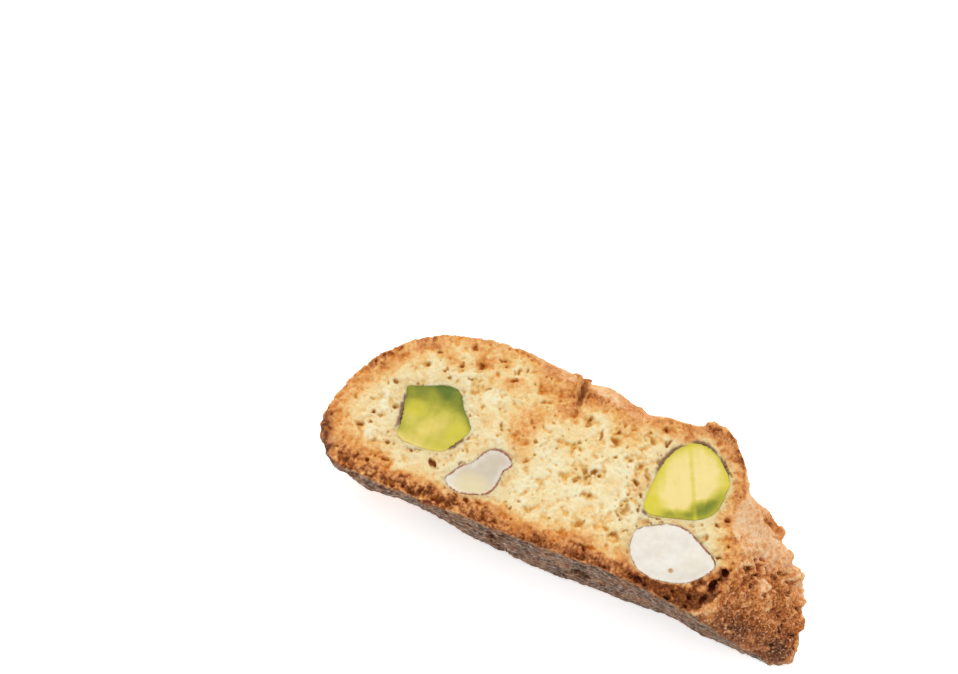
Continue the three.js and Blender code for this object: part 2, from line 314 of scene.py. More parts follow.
# Torn flaps that stand out of the end crust, and pits in it: middle, half length, half width,
# turn and height.
FLAPS = [
    (28.8, 3.0, 1.3, 0.7, -30, 0.40), (25.6, 4.4, 1.3, 0.8, -10, 0.20),
    (30.6, -0.6, 0.9, 1.3, 20, 0.5), (32.4, -2.3, 1.5, 1.0, -35, 0.75),
    (34.4, -5.3, 1.0, 1.7, 10, 0.4), (35.6, -9.0, 1.0, 1.3, 0, 0.5),
    (35.6, -12.0, 1.0, 1.4, 0, 0.35), (34.6, -14.4, 1.6, 1.0, 20, 0.25),
    (31.8, -6.6, 2.4, 1.6, -40, 0.5), (28.6, -8.0, 2.6, 1.8, -20, 0.55),
    (30.4, -11.0, 2.6, 1.6, 10, 0.4), (28.2, -2.5, 1.1, 0.4, 25, 0.4),
    (30.6, -5.2, 1.4, 0.5, -40, 0.45), (26.4, -5.3, 1.6, 0.6, -20, 0.4),
    (13.9, 13.4, 1.6, 0.8, 0, 0.3),
]
PITS = [
    (25.9, -4.3, 0.70, 0.50, 30, 0.7), (27.5, -3.5, 0.75, 0.55, 70, 1.0),
    (28.9, -3.4, 0.80, 0.50, -50, 1.0), (30.4, -4.3, 1.20, 0.60, -50, 1.0),
    (27.9, -4.6, 0.80, 0.50, 10, 0.9), (26.9, -5.2, 0.60, 0.40, 40, 0.7),
    (28.0, -2.1, 0.60, 0.35, -20, 0.6), (26.8, -2.6, 0.50, 0.30, 20, 0.5),
    (31.0, -2.9, 0.80, 0.35, 10, 0.7), (26.3, 3.2, 0.90, 0.40, -25, 0.25),
    (28.4, 1.7, 0.90, 0.30, 10, 0.20), (29.0, -7.0, 0.50, 0.30, 40, 0.5),
    (31.5, -8.6, 0.70, 0.30, 60, 0.5), (27.0, -6.6, 0.60, 0.30, 60, 0.5),
    (32.6, -5.4, 0.90, 0.35, 50, 0.6), (33.5, -10.6, 0.90, 0.30, 80, 0.5),
    (32.6, -3.6, 1.00, 0.35, 15, 0.6), (34.9, -6.8, 0.90, 0.35, 20, 0.6),
    (35.6, -10.8, 0.80, 0.30, 10, 0.5), (33.2, -13.4, 0.50, 0.35, 0, 0.6),
    (-9.3, -14.40, 1.00, 0.70, -10, 1.2), (4.4, -14.25, 1.80, 0.55, 0, 0.8),
    (-7.6, -15.1, 1.80, 0.40, -15, 0.5), (16.9, -12.9, 0.60, 0.30, 0, 0.7),
    (-31.0, -13.3, 0.9, 0.3, 5, 0.4), (-26.6, -13.6, 0.9, 0.3, 5, 0.4),
]
from_above = (1.0 - on_cut) * ease(-0.2, 0.15, facing[:, 2] + 0.35 * base + 0.2)
pit = np.zeros(count)
for *where, flap_height in FLAPS:
    raised = patch(seen, *where)
    crust_height += flap_height * from_above * ease(0.0, 0.8, raised * (1.0 + 0.5 * fine))
for *where, pit_depth in PITS:
    sunk = patch(seen, *where)
    sunk = from_above * ease(0.0, 0.45, sunk * (1.0 + 0.9 * fine + 0.8 * base * beads))
    crust_height -= pit_depth * sunk
    pit = np.maximum(pit, sunk * min(1.0, 0.3 + pit_depth))
pit = np.maximum(pit, 0.8 * pores)

# A crease runs from the split down the dome, drifting sideways, and fades out.
CREASE_X, CREASE_DRIFT, CREASE_WIDTH, CREASE_DEPTH = -5.9, 0.6, 0.9, 1.1
CREASE_ON_DOME, CREASE_FADE = (9.0, 12.0), (8.0, 2.0)
crease = dome * (1.0 - on_cut) * ease(*CREASE_ON_DOME, y) * ease(*CREASE_FADE, below_face)
aside = x - CREASE_X - CREASE_DRIFT * below_face - 0.6 * blisters
crease *= np.exp(-(aside / (CREASE_WIDTH + 0.3 * beads)) ** 2)
crust_height -= CREASE_DEPTH * crease
pit = np.maximum(pit, 0.8 * crease)

# Along the lower right of the cut face the end crust stands up in a thin pale lip.
LIP_OUT, LIP_WIDTH, LIP_HEIGHT = 0.35, 0.5, 0.30
LIP_FROM, LIP_BELOW = (20.0, 21.5), (1.5, -0.5)
lip = np.exp(-((rim + LIP_OUT) / LIP_WIDTH) ** 2) * ease(*LIP_FROM, x) * ease(*LIP_BELOW, y)
crust_height += LIP_HEIGHT * lip

# The relief of the whole skin, and, for the crumb's colour, what lies in a hollow and what lies
# deep in a hole. The crumb is painted ochre in its clefts and dark brown deep in its holes and
# pockets, which is painted shade; the hollow mark also holds a broad ochre wash of its own tone.
height = on_cut * crumb_height + (1.0 - on_cut) * crust_height
hollow = on_cut * np.clip(
    0.80 * cleft + 0.30 * ease(-0.2, 0.9, waves(torn, 2.6, 52.0)), 0.0, 1.0)
deep = on_cut * (0.20 + 0.25 * coarse) * pocket

# Smaller holes of the crumb, as above.
HOLES = [
    (-33.0, -6.2, 0.75, 0.45, 20, 0.9), (-28.3, -7.1, 0.45, 0.34, 0, 0.7),
    (-31.8, -3.7, 0.38, 0.30, 60, 0.8), (-29.3, -1.9, 0.42, 0.34, 0, 0.7),
    (-30.6, 1.6, 0.60, 0.38, -25, 0.7), (-31.7, -5.3, 0.40, 0.25, 10, 0.6),
    (-24.8, -6.8, 0.60, 0.30, -15, 0.7), (-22.6, 7.4, 0.60, 0.28, 30, 0.7),
    (-19.9, 8.4, 0.75, 0.60, 40, 0.8), (-20.7, 6.1, 0.50, 0.16, 10, 0.5),
    (-27.3, 5.7, 0.45, 0.35, 70, 0.6), (-26.4, 8.1, 0.55, 0.35, 30, 0.6),
    (-22.0, 10.6, 0.60, 0.45, 80, 0.6), (-13.6, 10.4, 0.30, 0.22, 90, 0.6),
    (-14.9, 8.3, 0.70, 0.35, 20, 0.6), (-17.8, 10.3, 0.55, 0.25, 0, 0.5),
    (-14.7, -10.5, 0.60, 0.42, -30, 0.8), (-12.9, -10.2, 0.5, 0.3, 0, 0.5),
    (-8.6, -9.3, 0.50, 0.22, 0, 0.6), (-7.6, -7.8, 0.28, 0.20, 0, 0.5),
    (-30.0, -10.5, 0.60, 0.30, 0, 0.7), (-23.8, -12.2, 0.45, 0.35, 0, 0.7),
    (-21.2, -11.8, 0.55, 0.25, 80, 0.8), (-18.6, -12.1, 1.10, 0.55, -10, 0.7),
    (-17.0, -12.3, 0.60, 0.35, 0, 0.6), (-27.6, -9.5, 0.80, 0.35, 15, 0.6),
    (0.7, 0.3, 0.80, 0.50, 30, 0.7), (2.8, 3.5, 0.40, 0.28, 0, 0.7),
    (1.8, 7.0, 0.50, 0.30, 75, 0.7), (2.4, 8.4, 0.45, 0.35, 60, 0.5),
    (-0.3, 5.8, 1.00, 0.28, 95, 0.5), (6.6, -4.6, 0.34, 0.25, 80, 0.6),
    (6.9, 1.1, 0.80, 0.30, -35, 0.8), (8.1, -0.2, 0.70, 0.26, -60, 0.8),
    (8.5, -2.0, 0.90, 0.22, -80, 0.7), (8.2, 10.0, 0.60, 0.30, -60, 0.7),
    (9.1, 8.3, 0.90, 0.18, 85, 0.6), (19.8, -11.3, 0.45, 0.35, 0, 1.0),
    (19.8, -12.6, 0.60, 0.30, 0, 0.8), (16.9, -12.6, 0.60, 0.30, 0, 0.9),
    (17.3, -11.4, 0.40, 0.28, 0, 0.7), (20.9, 1.1, 0.70, 0.45, 20, 0.9),
    (19.8, -0.1, 0.45, 0.30, 0, 0.8), (22.5, -2.3, 0.35, 0.28, 0, 0.8),
    (21.7, -4.4, 0.50, 0.30, 30, 0.7), (23.3, -0.9, 0.60, 0.30, -20, 0.7),
    (13.4, -12.0, 0.45, 0.25, 20, 0.7), (10.9, -11.2, 0.40, 0.22, 60, 0.6),
    (22.9, -7.1, 0.60, 0.30, 65, 0.9), (23.9, -5.4, 0.35, 0.25, 50, 0.7),
]
SMALL_HOLES = 360
draw = random.Random(7)
small_holes = []
for _ in range(SMALL_HOLES):
    cx, cy = draw.uniform(-37.0, 25.0), draw.uniform(-13.5, 13.0)
    half_wide = min(0.17 * math.exp(draw.gauss(0.0, 0.4)), 0.4)
    small_holes.append((cx, cy, half_wide * draw.uniform(1.0, 1.9), half_wide,
                        draw.uniform(0, 180), half_wide * draw.uniform(0.8, 1.8)))

FACE_BAND = 0.8
HOLE_REACH = 1.6


def press_holes(holes, level, side):
    """Sinks ragged oval holes into one cut face and marks how deep each point then lies."""
    face = np.flatnonzero((np.abs(z - level) < FACE_BAND) & (on_cut > 0.3) & side)
    ragged = 0.22 * waves(points[face], 0.45, 90.0)
    fx, fy = x[face], y[face]
    for cx, cy, half_long, half_wide, turn, depth in holes:
        reach = half_long * HOLE_REACH
        near = np.flatnonzero((np.abs(fx - cx) < reach) & (np.abs(fy - cy) < reach))
        c, s = math.cos(math.radians(turn)), math.sin(math.radians(turn))
        dx, dy = fx[near] - cx, fy[near] - cy
        far = np.hypot((dx * c + dy * s) / half_long, (dy * c - dx * s) / half_wide)
        inside = 1.0 - ease(0.35, 1.1, far + ragged[near] / math.sqrt(half_wide))
        target = face[near]
        height[target] -= depth * 0.9 * inside
        # The hole's hollow and deep marks are kept for the crumb's painted shade.
        hollow[target] = np.maximum(hollow[target], inside)
        deep[target] = np.maximum(deep[target], inside ** 2 * min(0.9, 0.2 + depth * 0.8))


press_holes(HOLES, THICKNESS, upper)
press_holes(small_holes, THICKNESS, upper)

# The hidden face has the same kinds of holes, mirrored, without those of the right-hand part.
LEFT_HOLES, MIRROR_X = 37, 4.0
mirrored = [(MIRROR_X - cx, cy, *rest) for cx, cy, *rest in HOLES[:LEFT_HOLES] + small_holes]
press_holes(mirrored, 0.0, lower)

# The hidden face lies on the table, so its relief only goes inwards. The walls of the large holes
# and of the split are ragged, and each socket swells to meet its kernel.
PRESSED = 0.12
height[lower] = np.minimum(height[lower] - PRESSED, 0.0)
height[socket] = SOCKET_SWELL
height[in_hole] = (
    0.24 * waves(points[in_hole], 0.9, 55.0) + 0.16 * waves(points[in_hole], 0.4, 57.0))
height[in_split] = 0.3 * waves(points[in_split], 0.9, 56.0)
moved = points + normals * height[:, None]
moved[:, 2] = np.maximum(moved[:, 2], 0.0)
slice_piece.data.vertices.foreach_set("co", moved.ravel())
slice_piece.data.update()

# How far the second baking browned each place of the cut faces, from 0, pale, to 1, dark: more
# near the edge, and in patches, each its middle, half length, half width, turn and tone. The
# creases between grains are made browner as well, which is painted shade.
TOAST = [
    (-32.5, 4.5, 3.4, 2.4, 40, 0.18), (-28.5, 8.6, 2.7, 1.6, 30, 0.20),
    (-25.5, 8.5, 2.4, 1.8, 0, 0.14), (-21.9, 10.6, 1.7, 1.5, 0, 0.12),
    (-19.8, 8.8, 1.8, 1.7, 0, 0.22), (-17.6, 9.8, 2.6, 1.5, 0, 0.14),
    (-15.0, 8.4, 1.8, 1.3, 0, 0.16), (-16.8, 7.4, 2.2, 1.4, 0, 0.22),
    (-8.2, 8.4, 4.0, 2.3, -10, 0.20), (-6.6, 6.4, 2.1, 1.5, 0, 0.22),
    (-10.4, 9.2, 2.6, 1.7, 0, 0.06), (-11.0, 2.6, 3.8, 3.6, 0, 0.26),
    (-13.0, 0.2, 1.9, 1.2, 0, 0.08), (-10.6, -0.9, 2.5, 2.0, 0, 0.14),
    (-3.0, 10.3, 3.2, 2.2, 0, 0.20), (2.5, 8.5, 2.6, 2.0, 0, 0.06), (3.5, 6.2, 3.0, 1.7, 0, 0.06),
    (7.8, 10.2, 2.4, 1.4, 0, 0.14), (-0.5, 4.5, 1.5, 2.6, 0, 0.10), (-6.0, 3.5, 3.0, 2.2, 0, 0.07),
    (-36.6, -7.2, 3.0, 2.8, 0, 0.06), (-36.5, -1.0, 1.8, 3.4, 0, 0.05),
    (-34.6, 0.8, 2.4, 4.0, 0, 0.06), (-35.0, -9.8, 4.2, 2.0, -20, 0.08),
    (-31.0, -11.2, 4.4, 1.8, -10, 0.10), (-28.0, -9.6, 2.0, 1.4, 0, 0.10),
    (-26.5, -11.4, 3.4, 1.6, 0, 0.10), (-22.0, -11.2, 3.8, 2.0, 0, 0.24),
    (-18.3, -11.4, 2.8, 1.6, 0, 0.30), (-14.0, -10.8, 5.4, 2.0, 0, 0.22),
    (-4.0, -10.8, 3.4, 1.4, 0, 0.14), (-11.5, 4.6, 2.4, 2.0, 0, -0.10),
    (2.0, -9.8, 3.6, 1.7, 0, 0.24), (5.0, -11.2, 5.5, 1.6, 0, 0.30),
    (15.5, -12.2, 8.0, 2.6, 0, 0.46), (21.6, -9.2, 3.0, 4.4, 0, 0.44),
    (9.4, -9.5, 2.2, 2.3, 0, 0.22), (22.3, -2.5, 2.8, 3.0, 0, 0.10),
    (23.4, -4.8, 1.6, 2.6, 0, 0.08), (17.5, 11.3, 5.0, 2.1, -25, 0.36),
    (14.0, 12.6, 2.6, 1.4, 0, 0.20), (20.7, 7.4, 1.9, 3.8, 0, 0.12), (21.4, 5.0, 1.4, 1.9, 0, 0.18),
    (20.5, 1.2, 1.8, 1.4, 0, 0.14), (11.5, 11.2, 2.6, 1.4, 0, 0.12),
    (-7.2, 10.2, 1.7, 2.2, 0, 0.14), (-4.8, 7.4, 1.5, 1.5, 0, 0.10),
    (-9.0, -12.4, 5.0, 1.4, 0, 0.16), (-1.0, -12.4, 5.5, 1.5, 0, 0.26),
    (-25.0, -11.8, 3.2, 1.6, 0, 0.14), (-32.8, -9.4, 2.6, 1.8, -20, 0.16),
    (-34.0, -7.6, 1.6, 2.0, 0, 0.10), (-30.2, -6.8, 2.0, 1.6, 0, -0.20),
    (-14.0, 7.4, 2.8, 1.8, 0, 0.20), (-23.4, 7.6, 2.8, 1.4, 0, 0.14),
    (-10.0, 5.2, 3.4, 2.0, 0, 0.20), (-29.4, 6.0, 2.4, 1.8, 40, 0.12),
    (12.8, 9.6, 6.0, 1.6, -12, 0.14), (-9.0, -10.4, 4.6, 1.6, 0, 0.16),
    (-16.0, -2.8, 3.0, 2.2, 0, 0.10), (-11.0, -5.0, 2.6, 2.0, 0, 0.12),
    (-5.2, -6.6, 2.8, 1.8, 0, 0.14), (3.0, -8.6, 2.6, 1.4, 0, 0.12),
    (12.0, -10.6, 4.6, 1.6, 0, 0.16), (18.6, -10.4, 2.8, 1.8, 0, 0.28),
    (19.8, -8.4, 1.4, 1.4, 0, 0.24), (7.4, 1.2, 2.0, 2.2, 0, 0.16),
    (22.2, -12.2, 1.6, 1.4, 0, 0.24), (14.0, -2.6, 4.4, 1.4, 0, 0.16),
    (-34.2, 5.6, 1.6, 2.0, 40, 0.12), (10.4, -5.2, 1.6, 1.8, 0, 0.16),
    (-31.5, -1.5, 3.8, 5.5, 0, -0.07), (23.3, -6.3, 1.3, 1.2, 0, 0.34),
]
PALE, DARKEST = 0.07, 0.88
LOW_RIM, LEFT_RIM, LEFT_PART, TOP_PART = (-6.0, -11.0), (-24.0, -34.0), (-10.0, -18.0), (5.0, 9.0)
low_edge = ease(*LOW_RIM, y)
edge_reach = 1.9 + 0.9 * ease(*LEFT_RIM, x) + 0.5 * low_edge
edge = np.exp(-np.clip(rim, 0.0, None) / edge_reach)
brown = PALE + (0.40 + 0.22 * low_edge) * edge
for *where, tone in TOAST:
    brown += tone * ease(0.0, 0.9, patch(torn.T, *where))
brown += 0.07 * waves(points, 4.5, 100.0)
motes = 0.5 * waves(torn, 0.9, 105.0) + 0.45 * waves(points, 0.5, 106.0)
speckle = np.clip(0.35 + 0.55 * brown, 0.41, 0.78)
mottled = 0.02 + 0.38 * brown + (0.06 + 0.26 * ease(*LEFT_PART, x)) * ease(0.35, 0.7, brown)
mottled *= 1.0 - 0.25 * ease(*TOP_PART, y)
# Toasted mottling, with the creases between grains browner: painted shade.
brown += mottled * (0.65 * motes - 0.40 * grains)
brown = np.clip(brown, 0.0, DARKEST)

# The crust's tones: pale tan on the crown and the top of the end, dark towards the tray, with
# flakes and rusty spots on the end, dark pits, and brown under the flour of the base. On the rough
# end the tops of the lumps are paler, which is a painted highlight.
CROWN_TONE = 0.27
flakes = waves(torn, 0.75, 170.0) * (1.0 - 0.45 * ease(-5.5, -8.5, seen[1] + blisters))
crust_brown = (
    CROWN_TONE
    + 0.14 * waves(points, 6.0, 110.0)
    + (0.10 + 0.05 * ending) * motes
    + ending * (0.38 * ease(0.5, -7.0, seen[1]) + 0.17 * ease(-9.0, -14.0, seen[1]) - 0.09)
    + 0.16 * ease(-30.0, -37.0, x) * ease(-2.0, -9.0, y)
    + dome * 0.20 * ease(11.0, 4.0, z)
    + 0.22 * ending * patch(seen, 27.0, 3.4, 2.4, 1.2, -15.0)
    + (0.36 + 0.38 * base) * pit
    + 0.20 * base
    + 0.10 * dome * waves(torn, 1.2, 165.0)
    # Painted highlight: the raised beads and blisters of the rough end are paler.
    - 0.22 * ending * rough_end * ease(0.25, 0.9, beads + 0.6 * blisters)
    - 0.20 * ending * rough_end * ease(0.3, 0.9, flakes)
    + 0.12 * ending * rough_end * ease(0.3, 0.9, -flakes)
    - 0.16 * lip
)
smooth_end = ending * (1.0 - rough_end)
rust = ease(0.7, 1.3, waves(torn, 1.1, 160.0))
crust_brown += smooth_end * (0.09 * waves(torn, 1.7, 150.0) + 0.16 * rust)
crust_speckle = 0.70 + 0.55 * ending * ease(3.0, -6.0, seen[1]) + 0.2 * base
speckle = np.where(rim < 0.0, crust_speckle, speckle)

# Flour from the tray greys the base, the foot of the end and the left of the dome. The left tip
# of the cut face is rounded and already has the look of crust.
ROUNDED_TIP = (-37.2, -9.4, 3.4, 4.4, -20)
flour = base * np.clip(0.90 + 0.18 * waves(points, 2.6, 120.0), 0.4, 1.0)
flour = np.maximum(flour, 0.20 * ending * ease(-10.5, -14.5, seen[1] + 2.0 * motes))
flour = np.maximum(flour, 0.25 * dome * ease(-6.0, -20.0, x + 2.0 * blisters)) * (1.0 - 0.8 * pit)
rounded = 0.85 * ease(0.0, 0.9, patch(seat, *ROUNDED_TIP)) * ease(2.0, 0.8, rim + 0.5 * motes)
split_depth = ease(0.0, SPLIT_DEPTH * 0.8, below_face)
brown = on_cut * brown + (1.0 - on_cut) * crust_brown
# Inside the split the crumb is browner with depth, partly toast and partly painted shade, and its deep
# mark, painted shade, grows with depth.
brown[in_split] = 0.46 + 0.12 * split_depth[in_split]
deep[in_split] = 0.10 + 0.30 * split_depth[in_split]
# The mouths of the large holes get deep marks at the listed strengths and a browner tone, near black
# brown in the two darkest: partly toasted crumb and partly painted shade.
HOLE_SHADES = [1.0, 1.0, 0.85, 0.80, 0.90]
NEAR_BLACK_HOLE, NEAR_BLACK_BROWN, HOLE_BROWN = 0.95, 0.9, 0.3
MOUTH_MARGIN, MOUTH_FLOOR = 0.12, 0.5
for (cx, cy, half_long, half_wide, turn, depth), tone in zip(LARGE_HOLES, HOLE_SHADES):
    mouth = patch(seat, cx, cy, half_long + MOUTH_MARGIN, half_wide + MOUTH_MARGIN, turn)
    mouth *= (below_face < depth + MOUTH_FLOOR) * (1.0 + 0.6 * fine)
    deep = np.maximum(deep, tone * ease(0.0, 0.5, mouth))
    hole_brown = NEAR_BLACK_BROWN if tone > NEAR_BLACK_HOLE else HOLE_BROWN
    brown = np.maximum(brown, hole_brown * ease(0.0, 0.5, mouth))
crust = np.maximum((1.0 - on_cut) * ~in_hole * ~in_split, rounded)
end_flecks = 0.3 * ease(3.0, -3.0, seen[1]) + 0.6 * ease(-5.0, -10.0, seen[1])
flecks = np.maximum(ending * end_flecks, 0.3 * base)

# Beside the kernels the pale crumb is greyed, which is painted shade, and their skins stain it
# where they came off.
KERNEL_SHADE_REACH = 1.1
beside_kernel = np.exp(-np.clip(kernel_gap - 0.3, 0.0, None) / KERNEL_SHADE_REACH)
beside_kernel *= ~in_hole * ease(0.7, 0.2, brown)
SKIN_STAINS = [(-28.3, -2.0, 0.9, 3.4, 0), (-19.0, -3.6, 0.8, 1.6, -30), (9.9, 6.4, 1.2, 3.6, -15),
               (13.4, 10.4, 3.6, 0.9, -8), (18.0, 8.6, 2.0, 0.8, -40), (9.2, -2.9, 1.0, 1.0, 0)]
stain = np.zeros(count)
for where in SKIN_STAINS:
    stain = np.maximum(stain, ease(0.0, 0.6, patch(seat, *where)))
stain *= ease(0.72, 0.34, kernel_gap + 0.22 * motes)


def give(mesh, **fields):
    """Keeps a number for each point of the mesh under each name, for its material to read."""
    for name, values in fields.items():
        layer = mesh.attributes.new(name, "FLOAT", "POINT")
        layer.data.foreach_set("value", np.asarray(values, np.float32))


# The material adds noise times the speckle to the brown. That noise is 0.5 on average, so half
# the speckle comes off here.
give(slice_piece.data, crust=crust, brown=brown - 0.5 * speckle, speckle=speckle, hollow=hollow,
     deep=deep, flour=flour, beside_kernel=beside_kernel, stain=stain, flecks=flecks)


def thin_out(piece, chosen, ratio):
    """Thins out a mesh at the chosen points and leaves the rest as it is."""
    mesh = piece.data
    mesh.polygons.foreach_set("select", np.zeros(len(mesh.polygons), bool))
    mesh.edges.foreach_set("select", np.zeros(len(mesh.edges), bool))
    mesh.vertices.foreach_set("select", chosen)
    bpy.ops.object.mode_set(mode="EDIT")
    bpy.ops.mesh.select_mode(type="VERT")
    bpy.ops.mesh.decimate(ratio=ratio)
    bpy.ops.object.mode_set(mode="OBJECT")


def triangles(mesh, chosen):
    """How many triangles a mesh has between chosen points."""
    total = 0
    for face in mesh.polygons:
        if all(chosen[i] for i in face.vertices):
            total += len(face.vertices) - 2
    return total


# The shown face and the end crust keep all their points. The sockets and the hidden face are
# thinned out most, and the rest of the crust by what is left of the triangles.
MOST_TRIANGLES = 188000
HIDDEN_SHARE = 0.15
HIDDEN_FROM = 1.0
HALF = 0.5
shown = upper | (on_cut > 0.0) & (z > THICKNESS / 2) | (ending > HALF)
hidden = socket | lower & (rim > HIDDEN_FROM)
give(slice_piece.data, shown=shown, hidden=hidden)
thin_out(slice_piece, hidden, HIDDEN_SHARE)
left_over = len(slice_piece.data.vertices)
outside = np.ones(left_over, bool)
for name in ("shown", "hidden"):
    mark = np.empty(left_over, np.float32)
    slice_piece.data.attributes[name].data.foreach_get("value", mark)
    outside &= mark < HALF
all_triangles = triangles(slice_piece.data, np.ones(left_over, bool))
outside_triangles = triangles(slice_piece.data, outside)
share = (MOST_TRIANGLES - all_triangles + outside_triangles) / outside_triangles
thin_out(slice_piece, outside, min(1.0, share))
slice_piece.data.transform(Matrix.Scale(1.0 / MM_A_METRE, 4))
bpy.ops.object.shade_smooth()


def linear(colour):
    """An sRGB hex colour as the linear numbers that Blender's nodes take."""
    parts = [int(colour[i:i + 2], 16) / 255 for i in (1, 3, 5)]
    return [c / 12.92 if c <= 0.04045 else ((c + 0.055) / 1.055) ** 2.4 for c in parts] + [1.0]


def add(material, kind, output, inputs=None, stops=None, **settings):
    """Adds a node with its settings, sets or links its inputs, and returns one output."""
    made = material.node_tree.nodes.new(kind)
    for name, value in settings.items():
        setattr(made, name, value)
    if stops:
        elements = made.color_ramp.elements
        while len(elements) < len(stops):
            elements.new(0.5)
        for element, (position, colour) in zip(elements, stops):
            element.position = position
            element.color = linear(colour)
    for name, value in (inputs or {}).items():
        into = next(s for s in made.inputs if name in (s.identifier, s.name))
        if isinstance(value, bpy.types.NodeSocket):
            material.node_tree.links.new(value, into)
        else:
            into.default_value = value
    return next((s for s in made.outputs if output in (s.identifier, s.name)), None)


def new_material(name):
    """A node material with nothing in it yet."""
    material = bpy.data.materials.new(name)
    material.use_nodes = True
    material.node_tree.nodes.clear()
    return material


# Torn crumb and baked crust: matt, open and dry. The pale crumb lets light through, so that its
# pockets look ochre; that ochre, the dark brown deep in holes and the grey beside the kernels are
# painted shade in the colour. Toasted parts run from orange to dark brown; tray flour greys the
# base. Flour is finer than 0.1 mm, too fine to show, so the dust and the grit are drawn coarser.
crumb = new_material("twice_baked_dough_torn_crumb_and_floured_crust")
place = add(crumb, "ShaderNodeTexCoord", "Object")
SPECK_MM = 0.38
GRAIN_MM = 0.26
GRAIN_SHARE = 0.30
DUST_MM = 0.46
GRIT_MM = 0.32
CRUMB_GRIT_M, CRUST_GRIT_M = 0.00019, 0.00021
KERNEL_SHADE_GREYING = 0.35
baked, speckled, crusty, hollow_shade, deep_shade, floury, shade_by_kernel, stained, flecked = [
    add(crumb, "ShaderNodeAttribute", "Fac", attribute_name=name)
    for name in ("brown", "speckle", "crust", "hollow", "deep", "flour", "beside_kernel", "stain",
                 "flecks")
]
speck = add(crumb, "ShaderNodeTexNoise", "Fac", {
    "Vector": place, "Scale": MM_A_METRE / SPECK_MM, "Detail": 3.0, "Roughness": 0.8})
grain = add(crumb, "ShaderNodeTexVoronoi", "Color", {
    "Vector": place, "Scale": MM_A_METRE / GRAIN_MM})
speck = add(crumb, "ShaderNodeMix", "Result_Float", {
    "Factor_Float": GRAIN_SHARE, "A_Float": speck, "B_Float": grain}, data_type="FLOAT")
tone = add(crumb, "ShaderNodeMath", "Value", {
    "Value": speck, "Value_001": speckled, "Value_002": baked}, operation="MULTIPLY_ADD")
crumb_colour = add(crumb, "ShaderNodeValToRGB", "Color", {"Fac": tone}, stops=[
    (0.00, "#FFF4D0"), (0.14, "#FDE4AD"), (0.28, "#F8CD8A"), (0.42, "#F0B16B"),
    (0.56, "#DD995D"), (0.70, "#B67242"), (0.85, "#844B26"), (1.00, "#542E16")])
# Painted shade: the crumb's hollows are multiplied by ochre.
crumb_colour = add(crumb, "ShaderNodeMix", "Result_Color", {
    "Factor_Float": hollow_shade, "A_Color": crumb_colour, "B_Color": linear("#EFCB82")},
    data_type="RGBA", blend_type="MULTIPLY")
# Painted shade: the crumb beside the kernels is greyed.
greyed = add(crumb, "ShaderNodeMath", "Value", {"Value": shade_by_kernel, "Value_001": KERNEL_SHADE_GREYING},
             operation="MULTIPLY")
crumb_colour = add(crumb, "ShaderNodeMix", "Result_Color", {
    "Factor_Float": greyed, "A_Color": crumb_colour, "B_Color": linear("#D2C69E")},
    data_type="RGBA")
# Painted shade: deep in holes, pockets and the split the crumb is multiplied by dark brown.
crumb_colour = add(crumb, "ShaderNodeMix", "Result_Color", {
    "Factor_Float": deep_shade, "A_Color": crumb_colour, "B_Color": linear("#A5682E")},
    data_type="RGBA", blend_type="MULTIPLY")
crust_colour = add(crumb, "ShaderNodeValToRGB", "Color", {"Fac": tone}, stops=[
    (0.00, "#FCDAB2"), (0.20, "#F4C08C"), (0.38, "#E39D5F"), (0.55, "#C87A3F"),
    (0.72, "#A05A2C"), (0.88, "#703C1E"), (1.00, "#482615")])
drawn_out = add(crumb, "ShaderNodeMapping", "Vector", {"Vector": place, "Scale": STRETCH})
dust = add(crumb, "ShaderNodeTexNoise", "Fac", {
    "Vector": drawn_out, "Scale": MM_A_METRE / DUST_MM, "Detail": 3.0, "Roughness": 0.7})
dust_colour = add(crumb, "ShaderNodeValToRGB", "Color", {"Fac": dust}, stops=[
    (0.33, "#3A2A22"), (0.45, "#635045"), (0.55, "#8C7667"), (0.68, "#C3B1A2")])
fleck = add(crumb, "ShaderNodeMapRange", "Result", {
    "Value": speck, "From Min": 0.42, "From Max": 0.34, "To Max": flecked})
crust_colour = add(crumb, "ShaderNodeMix", "Result_Color", {
    "Factor_Float": fleck, "A_Color": crust_colour, "B_Color": linear("#EBC198")},
    data_type="RGBA")
crust_colour = add(crumb, "ShaderNodeMix", "Result_Color", {
    "Factor_Float": floury, "A_Color": crust_colour, "B_Color": dust_colour}, data_type="RGBA")
colour = add(crumb, "ShaderNodeMix", "Result_Color", {
    "Factor_Float": crusty, "A_Color": crumb_colour, "B_Color": crust_colour}, data_type="RGBA")
colour = add(crumb, "ShaderNodeMix", "Result_Color", {
    "Factor_Float": stained, "A_Color": colour, "B_Color": linear("#94705A")}, data_type="RGBA")
grit = add(crumb, "ShaderNodeTexNoise", "Fac", {
    "Vector": place, "Scale": MM_A_METRE / GRIT_MM, "Detail": 3.0, "Roughness": 0.65})
grit_depth = add(crumb, "ShaderNodeMapRange", "Result", {
    "Value": crusty, "To Min": CRUMB_GRIT_M, "To Max": CRUST_GRIT_M})
grit = add(crumb, "ShaderNodeMath", "Value", {"Value": grit, "Value_001": grit_depth},
           operation="MULTIPLY")
bump = add(crumb, "ShaderNodeBump", "Normal", {"Strength": 1.0, "Distance": 1.0, "Height": grit})
shader = add(crumb, "ShaderNodeBsdfPrincipled", "BSDF", {
    "Base Color": colour, "Roughness": 0.9, "Normal": bump, "Specular IOR Level": 0.15,
    "Subsurface Weight": 0.25, "Subsurface Radius": (1.0, 0.6, 0.3), "Subsurface Scale": 0.001})
add(crumb, "ShaderNodeOutputMaterial", None, {"Surface": shader})
slice_piece.data.materials.append(crumb)

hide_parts("biscuit")
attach(slice_piece, "root")


